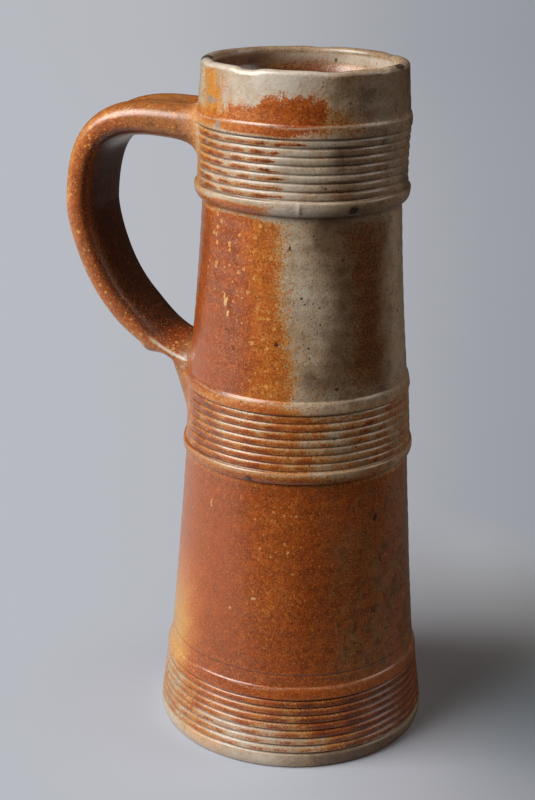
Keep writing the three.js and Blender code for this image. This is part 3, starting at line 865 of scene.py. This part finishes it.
class Nodes:
    """Short names for the nodes that the materials are made of."""

    def __init__(self, owner):
        owner.use_nodes = True
        self.tree = owner.node_tree
        self.tree.nodes.clear()

    def new(self, kind, settings=None, **inputs):
        node = self.tree.nodes.new(f"ShaderNode{kind}")
        for key, value in (settings or {}).items():
            setattr(node, key, value)
        for key, value in inputs.items():
            self.feed(node.inputs[key.replace("_", " ")], value)
        return node

    def feed(self, socket, value):
        if isinstance(value, bpy.types.NodeSocket):
            self.tree.links.new(value, socket)
        else:
            socket.default_value = value

    def math(self, operation, *values):
        node = self.new("Math", {"operation": operation})
        for socket, value in zip(node.inputs, values):
            self.feed(socket, value)
        return node.outputs[0]

    def times(self, a, b):
        return self.math("MULTIPLY", a, b)

    def times_plus(self, a, b, c):
        return self.math("MULTIPLY_ADD", a, b, c)

    def rest(self, share):
        return self.math("SUBTRACT", 1.0, share)

    def step(self, value, low, high, floor=0.0, top=1.0):
        node = self.new("MapRange", {"interpolation_type": "SMOOTHSTEP"})
        for socket, given in zip(node.inputs, (value, low, high, floor, top)):
            self.feed(socket, given)
        return node.outputs[0]

    def along(self, place, direction):
        """How far a place lies in a direction."""
        node = self.new("VectorMath", {"operation": "DOT_PRODUCT"})
        self.feed(node.inputs[0], place)
        node.inputs[1].default_value = direction
        return node.outputs["Value"]

    def mix(self, share, a, b):
        node = self.new("Mix", {"data_type": "RGBA"})
        # Its colours are the sockets 6 and 7, and their mix is the output 2
        self.feed(node.inputs[0], share)
        self.feed(node.inputs[6], a)
        self.feed(node.inputs[7], b)
        return node.outputs[2]

    def ramp(self, value, stops):
        node = self.new("ValToRGB")
        points = node.color_ramp.elements
        while len(points) < len(stops):
            points.new(0.5)
        for point, (place, tint) in zip(points, stops):
            point.position = place
            point.color = tint
        self.feed(node.inputs[0], value)
        return node.outputs[0]

    def noise(self, vector, size_mm, detail, roughness, distortion=0.0):
        node = self.new("TexNoise", Vector=vector, Scale=1000 / size_mm,
                        Detail=detail, Roughness=roughness, Distortion=distortion)
        return node.outputs["Fac"]

    def cells(self, vector, size_mm, settings=None, **inputs):
        return self.new("TexVoronoi", settings, Vector=vector, Scale=1000 / size_mm,
                        Randomness=1.0, **inputs).outputs

    def number(self, name):
        return self.new("Attribute", {"attribute_name": name}).outputs["Fac"]


class GlazeNodes(Nodes):
    """Nodes, with what the layers of the glaze have in common."""

    def __init__(self, owner):
        super().__init__(owner)
        self.place = self.new("TexCoord").outputs["Object"]
        flat = self.new("Mapping", Vector=self.place, Scale=(1, 1, 0.7)).outputs[0]
        # Noises by size in millimetres, detail, roughness and distortion
        self.cloud = self.noise(flat, 30, 4, 0.6)
        self.mottle = self.noise(flat, 5.5, 5, 0.68, 0.4)
        self.grain = self.noise(self.place, 1.7, 3, 0.65)
        self.fine = self.noise(self.place, 0.75, 2, 0.5)
        self.mottle_swing = self.math("SUBTRACT", self.mottle, 0.5)
        self.grain_swing = self.math("SUBTRACT", self.grain, 0.5)
        self.fine_swing = self.math("SUBTRACT", self.fine, 0.5)
        self.lively = self.rest(self.number("calm"))
        # The clay is dim where its warmth is low: where the smoke left it cool, and where shade is
        # painted inside the handle's loop, on the inside's shaded side and on the foot's right
        self.dim = self.times(self.step(self.number("warmth"), 0.45, 0.1), 0.85)

        # How much iron wash there is here
        spread = self.times_plus(self.mottle_swing, 0.45, self.number("iron"))
        spread = self.times_plus(self.grain_swing, 0.75, spread)
        spread = self.times_plus(self.fine_swing, 1.4, spread)
        spread = self.times_plus(self.number("stripe"), 0.85, spread)
        self.thin = self.step(spread, 0.16, 0.5)
        self.wash = self.step(spread, 0.44, 0.82)
        self.bare_clay = self.rest(self.times(self.wash, 0.55))


def washed_clay(n):
    """Pale clay under a wash from burnt brown through rust and orange to ochre."""
    swing = n.times(n.grain_swing, 0.60)
    swing = n.times_plus(n.fine_swing, 0.50, swing)
    swing = n.times_plus(n.mottle_swing, 0.40, swing)
    tone = n.times_plus(n.math("SUBTRACT", n.cloud, 0.5), 0.30, n.number("warmth"))
    tone = n.times_plus(swing, n.lively, tone)
    tone = n.times_plus(n.number("stripe"), -0.28, tone)
    iron = n.ramp(tone, (
        (0.0, srgb(52, 30, 18)), (0.22, srgb(112, 52, 22)), (0.45, srgb(168, 76, 24)),
        (0.64, srgb(200, 102, 26)), (0.84, srgb(218, 150, 62)), (1.0, srgb(230, 188, 126)),
    ))
    pale = n.ramp(n.times_plus(n.mottle_swing, 0.9, n.cloud), (
        (0.25, srgb(176, 146, 112)), (0.5, srgb(203, 179, 150)), (0.75, srgb(219, 204, 182)),
    ))
    golden = n.step(n.number("warmth"), 0.68, 0.86)
    ochre = n.mix(golden, srgb(210, 142, 70), srgb(228, 162, 62))
    ochre = n.mix(n.dim, ochre, srgb(98, 66, 38))
    pale = n.mix(n.dim, pale, srgb(124, 97, 69))
    patchy = n.math("ADD", n.cloud, n.mottle_swing)
    olive = n.times(n.number("olive"), n.step(patchy, 0.32, 0.62, 0.2, 0.9))
    iron = n.mix(olive, iron, srgb(158, 110, 66))
    skin = n.mix(n.thin, pale, ochre)
    return n.mix(n.wash, skin, iron)


def with_freckles(n, skin):
    """Round ochre drops of thicker glaze on the rust, and darker blotches."""
    drops = n.cells(n.place, 2.2)
    lot = n.new("SeparateColor", Color=drops["Color"]).outputs[0]
    size = n.times(n.step(lot, 0.25, 1.0, 0.0, 0.46), n.number("freckle"))
    drop = n.math("SUBTRACT", size, drops["Distance"])
    drop = n.step(n.times_plus(n.fine_swing, 0.35, drop), 0.0, 0.12, 0.0, 0.8)
    drop = n.times(n.times(drop, n.wash), n.lively)
    skin = n.mix(drop, skin, srgb(236, 172, 92))
    blotch = n.times(n.step(n.noise(n.place, 3.6, 5, 0.7), 0.47, 0.66), n.wash)
    blotch = n.times(blotch, n.times_plus(n.number("olive"), 0.5, 0.28))
    return n.mix(n.times(blotch, n.lively), skin, srgb(96, 46, 20))


def with_smudges(n, skin):
    """Brown smudges, stronger where the clay is pale, and fine light and dark pricks."""
    share = n.times(n.bare_clay, n.step(n.number("warmth"), 0.5, 0.28, 0.3, 1.0))
    share = n.times_plus(n.number("olive"), 0.7, share)
    smudge = n.times(n.step(n.noise(n.place, 9, 6, 0.72), 0.46, 0.7, 0.0, 0.65), share)
    skin = n.mix(smudge, skin, srgb(92, 62, 38))
    pits = n.noise(n.place, 0.6, 2, 0.6)
    glint = n.times(n.step(pits, 0.45, 0.27, 0.0, 0.6), n.wash)
    glint = n.times(glint, n.times_plus(n.number("freckle"), 0.35, 0.85))
    skin = n.mix(n.times(glint, n.lively), skin, srgb(232, 166, 100))
    prick = n.times(n.step(pits, 0.53, 0.72, 0.0, 0.66), n.lively)
    return n.mix(prick, skin, srgb(78, 40, 20))


def burnt_specks(n):
    """Where specks of iron burned out dark, most of them on pale clay."""
    specks = n.cells(n.place, 2.9)
    lot = n.new("SeparateColor", Color=specks["Color"]).outputs[1]
    size = n.times(n.step(lot, 0.5, 1.0, 0.0, 0.2), n.bare_clay)
    near = n.math("SUBTRACT", size, specks["Distance"])
    return n.step(n.math("ADD", near, n.times(n.fine_swing, 0.12)), 0.0, 0.05)


def with_relief(n, skin):
    """Dark where the wash ran into grooves and where shade is painted, bare and pale where it ran
    off edges, and pale where the clay is worn and where light and highlights are painted.
    """
    # With the grooves' dark wash this also paints shade on the foot's right and the inside's
    # shaded side
    pooled_wash_and_shade = n.times(n.number("groove"), n.step(n.mottle, 0.3, 0.6, 0.55, 0.95))
    skin = n.mix(pooled_wash_and_shade, skin, srgb(82, 40, 18))
    bare = n.times(n.number("edge"), n.step(n.grain, 0.36, 0.52, 0.2, 0.8))
    skin = n.mix(bare, skin, srgb(216, 196, 168))
    # Pale wear, which also paints light on the inside's lit side and highlights on the handle
    wear_and_light = n.times(n.number("lip"), n.rest(n.wash))
    wear_and_light = n.times(wear_and_light, n.step(n.mottle, 0.3, 0.55, 0.35, 0.85))
    return n.mix(wear_and_light, skin, n.mix(n.dim, srgb(218, 207, 192), srgb(140, 112, 84)))


def with_stains(n, skin):
    ragged = n.times_plus(n.mottle_swing, 0.6, n.times(n.grain_swing, 0.9))
    for name, tint in (("grey_stain", srgb(152, 142, 132)), ("dark_stain", srgb(58, 42, 32)),
                       ("cream_stain", srgb(232, 190, 124))):
        stain = n.math("ADD", n.number(name), ragged)
        skin = n.mix(n.step(stain, 0.24, 0.48, 0.0, 0.85), skin, tint)
    return skin


def salt_glaze(name, gloss, coat_roughness):
    """Salt-glazed stoneware: iron wash in mottles over pale clay, under a pitted clear skin."""
    material = bpy.data.materials.new(name)
    n = GlazeNodes(material)
    skin = with_smudges(n, with_freckles(n, washed_clay(n)))
    specks = burnt_specks(n)
    skin = n.mix(n.times(specks, 0.78), skin, srgb(58, 36, 24))
    skin = with_stains(n, with_relief(n, skin))

    # The orange-peel skin of salt glaze
    peel = n.cells(n.place, 1.25, {"feature": "SMOOTH_F1"}, Smoothness=0.6)["Distance"]
    height = n.times_plus(peel, 0.5, n.times(n.fine, 0.35))
    height = n.times_plus(n.mottle, 0.9, height)
    height = n.math("SUBTRACT", height, n.times(specks, 0.8))
    bump = n.new("Bump", Strength=0.8, Distance=0.00018, Height=height).outputs[0]
    rough = n.step(n.times_plus(n.grain_swing, 0.5, n.cloud),
                   0.3, 0.75, gloss - 0.07, gloss + 0.13)
    rough = n.times_plus(n.rest(n.wash), 0.1, rough)
    shader = n.new("BsdfPrincipled", Base_Color=skin, Roughness=rough, Normal=bump,
                   IOR=1.5, Coat_Weight=0.9, Coat_Roughness=coat_roughness)
    n.new("OutputMaterial", Surface=shader.outputs[0])
    return material


# Each piece: (object, the node that it replaces, its material slot, gloss, coat roughness)
PIECES = (
    (build_vessel(), "thrown_body", "body_glaze", 0.34, 0.23),
    (build_handle(), "strap_handle", "handle_glaze", 0.36, 0.29),
    (build_luting(UPPER_LUTING), "upper_luting_clay", "upper_luting_glaze", 0.5, 0.45),
    (build_luting(LOWER_LUTING), "lower_luting_clay", "lower_luting_glaze", 0.36, 0.30),
)
for made, node, slot, gloss, coat_roughness in PIECES:
    made.data.materials.append(salt_glaze(slot, gloss, coat_roughness))
    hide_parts(node)
    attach(made, "root")

# Stage, light and camera, in metres

FLOOR_SIZE = 9.0
FLOOR_DROP = 0.0002
# Light that the camera doesn't see finds the paper dark from here on in front of the vessel
PAPER_FRONT = 0.11
PAPER_FADE = 0.05
# The backdrop's fan of shades starts this far in front of the vessel
FAN_FRONT = 0.6
# The paper that takes the shadow reaches this much further on the side where it falls
SHADOW_REACH = 0.098
TOWARDS_CAMERA = Vector((math.cos(VIEW_AZIMUTH), math.sin(VIEW_AZIMUTH), 0))
TO_THE_RIGHT = Vector((-math.sin(VIEW_AZIMUTH), math.cos(VIEW_AZIMUTH), 0))

# Each softbox: (name, degrees to the right of the camera, degrees above the table, metres
# away, width and height, watts, tint)
SOFTBOXES = (
    ("key", -66, 40, 1.5, (1.05, 1.15), 30.4, (1.0, 0.985, 0.96)),
    ("kicker", 88, 30, 1.6, (0.8, 1.0), 4.5, (1.0, 0.94, 0.88)),
)
SOFTBOX_AIM = Vector((0, 0, 0.13))

CAMERA_PLACE = (0.1936, -0.5623, 0.3452)
CAMERA_YAW = math.radians(-1.163)
CAMERA_PITCH = math.radians(19.396)
CAMERA_ROLL = math.radians(0.961)
CAMERA_LENS = 70.5
CAMERA_SENSOR = 36


def paper_shader(p, forwards, rightwards, rays):
    """The paper that takes the vessel's shadow."""
    seen = rays["Is Camera Ray"]
    mirrored = rays["Is Glossy Ray"]
    # The camera sees it in tints of its own, which paint its shade: lighter on the left, lightest
    # behind the vessel on the right, and darkest in front on the right where the shadow falls; the
    # light from below finds it even
    left = p.mix(p.step(rightwards, -0.03, 0.07), srgb(191, 197, 209), srgb(178, 181, 191))
    right = p.mix(p.step(forwards, -0.09, 0.0), srgb(200, 206, 215), srgb(140, 149, 159))
    right = p.mix(p.step(forwards, 0.03, 0.09), right, srgb(161, 165, 174))
    left = p.mix(p.step(rightwards, 0.04, 0.11), left, right)
    tint = p.mix(seen, srgb(176, 178, 185), left)
    # The glaze mirrors it paler on the left and darker on the right
    on_left = p.times(p.step(rightwards, 0.0, -0.12), mirrored)
    on_right = p.times(p.step(rightwards, -0.02, 0.08), mirrored)
    tint = p.mix(on_left, tint, srgb(196, 190, 186))
    tint = p.mix(on_right, tint, srgb(92, 88, 86))
    # On the left it reaches further forwards
    slant = p.times_plus(rightwards, 0.45, forwards)
    front = p.step(slant, PAPER_FRONT - PAPER_FADE, PAPER_FRONT + PAPER_FADE)
    tint = p.mix(p.times(front, p.rest(seen)), tint, srgb(40, 36, 32))
    return p.new("BsdfPrincipled", Base_Color=tint, Roughness=0.9,
                 Specular_IOR_Level=0.1).outputs[0]


def backdrop_glow(p, forwards, rightwards):
    """A glowing backdrop with painted shade, which darkens it from left to right in a fan that
    opens away from the front.
    """
    fan_depth = p.math("SUBTRACT", FAN_FRONT, forwards)
    across = p.math("DIVIDE", rightwards, p.math("MAXIMUM", fan_depth, 0.05))
    # It is held at its darkest shade, so that it closes softly in front
    across = p.math("MINIMUM", across, 0.25)
    across = p.times(across, p.step(fan_depth, 0.1, 0.5))
    across = p.math("ADD", across, p.step(fan_depth, 1.2, 3.2, 0.0, 0.05))
    shade = p.ramp(p.math("ADD", across, 0.5), (
        (0, srgb(185, 188, 195)), (0.36, srgb(184, 186, 193)), (0.46, srgb(181, 183, 189)),
        (0.55, srgb(170, 172, 178)), (0.62, srgb(158, 160, 167)), (0.72, srgb(146, 150, 157)),
    ))
    return p.new("Emission", Strength=1.0, Color=shade).outputs[0]


def build_floor():
    half = FLOOR_SIZE / 2
    mesh = bpy.data.meshes.new("floor")
    mesh.from_pydata([(-half, -half, 0), (half, -half, 0), (half, half, 0), (-half, half, 0)],
                     [], [(0, 1, 2, 3)])
    floor = add_object("floor", mesh)
    floor.location.z = -FLOOR_DROP

    material = bpy.data.materials.new("paper")
    p = Nodes(material)
    place = p.new("TexCoord").outputs["Object"]
    forwards = p.along(place, TOWARDS_CAMERA)
    rightwards = p.along(place, TO_THE_RIGHT)
    rays = p.new("LightPath").outputs
    distance = p.new("VectorMath", {"operation": "LENGTH"})
    p.feed(distance.inputs[0], place)
    in_shadow = p.step(rightwards, -0.02, 0.09, 0.0, SHADOW_REACH)
    outlying = p.math("SUBTRACT", distance.outputs["Value"], in_shadow)
    both = p.new("MixShader")
    p.feed(both.inputs[0], p.times(p.step(outlying, 0.06, 0.14), rays["Is Camera Ray"]))
    p.feed(both.inputs[1], paper_shader(p, forwards, rightwards, rays))
    p.feed(both.inputs[2], backdrop_glow(p, forwards, rightwards))
    p.new("OutputMaterial", Surface=both.outputs[0])
    mesh.materials.append(material)


def build_world():
    """A dim warm room, which the camera sees as pale as the backdrop."""
    world = bpy.data.worlds.new("room")
    bpy.context.scene.world = world
    w = Nodes(world)
    rays = w.new("LightPath").outputs
    seen = rays["Is Camera Ray"]
    dimmed = w.step(rays["Is Glossy Ray"], 0, 1, 0.10, 0.035)
    room = w.new("Background", Strength=w.step(seen, 0, 1, dimmed, 1.0),
                 Color=w.mix(seen, srgb(214, 190, 164), srgb(181, 184, 191)))
    w.new("OutputWorld", Surface=room.outputs[0])


def build_softbox(name, turn, elevation, away, size, power, tint):
    lamp = bpy.data.lights.new(name, "AREA")
    lamp.shape = "RECTANGLE"
    lamp.size, lamp.size_y = size
    lamp.energy = power
    lamp.color = tint
    made = add_object(name, lamp)
    azimuth = VIEW_AZIMUTH + math.radians(turn)
    rise = math.radians(elevation)
    direction = Vector((math.cos(azimuth) * math.cos(rise),
                        math.sin(azimuth) * math.cos(rise), math.sin(rise)))
    made.location = SOFTBOX_AIM + direction * away
    made.rotation_mode = "QUATERNION"
    made.rotation_quaternion = direction.to_track_quat("Z", "Y")


def build_camera():
    """The photograph's camera, turned from the azimuth that it looks from."""
    turned = (Matrix.Rotation(VIEW_AZIMUTH + math.pi / 2 - CAMERA_YAW, 3, "Z")
              @ Matrix.Rotation(math.pi / 2 - CAMERA_PITCH, 3, "X")
              @ Matrix.Rotation(CAMERA_ROLL, 3, "Z"))
    view = bpy.data.cameras.new("camera")
    view.lens = CAMERA_LENS
    view.sensor_width = CAMERA_SENSOR
    view.clip_end = 20
    camera = add_object("camera", view)
    camera.rotation_mode = "QUATERNION"
    camera.location = CAMERA_PLACE
    camera.rotation_quaternion = turned.to_quaternion()
    bpy.context.scene.camera = camera


build_floor()
build_world()
for softbox in SOFTBOXES:
    build_softbox(*softbox)
build_camera()
bpy.context.scene.view_settings.view_transform = "Standard"
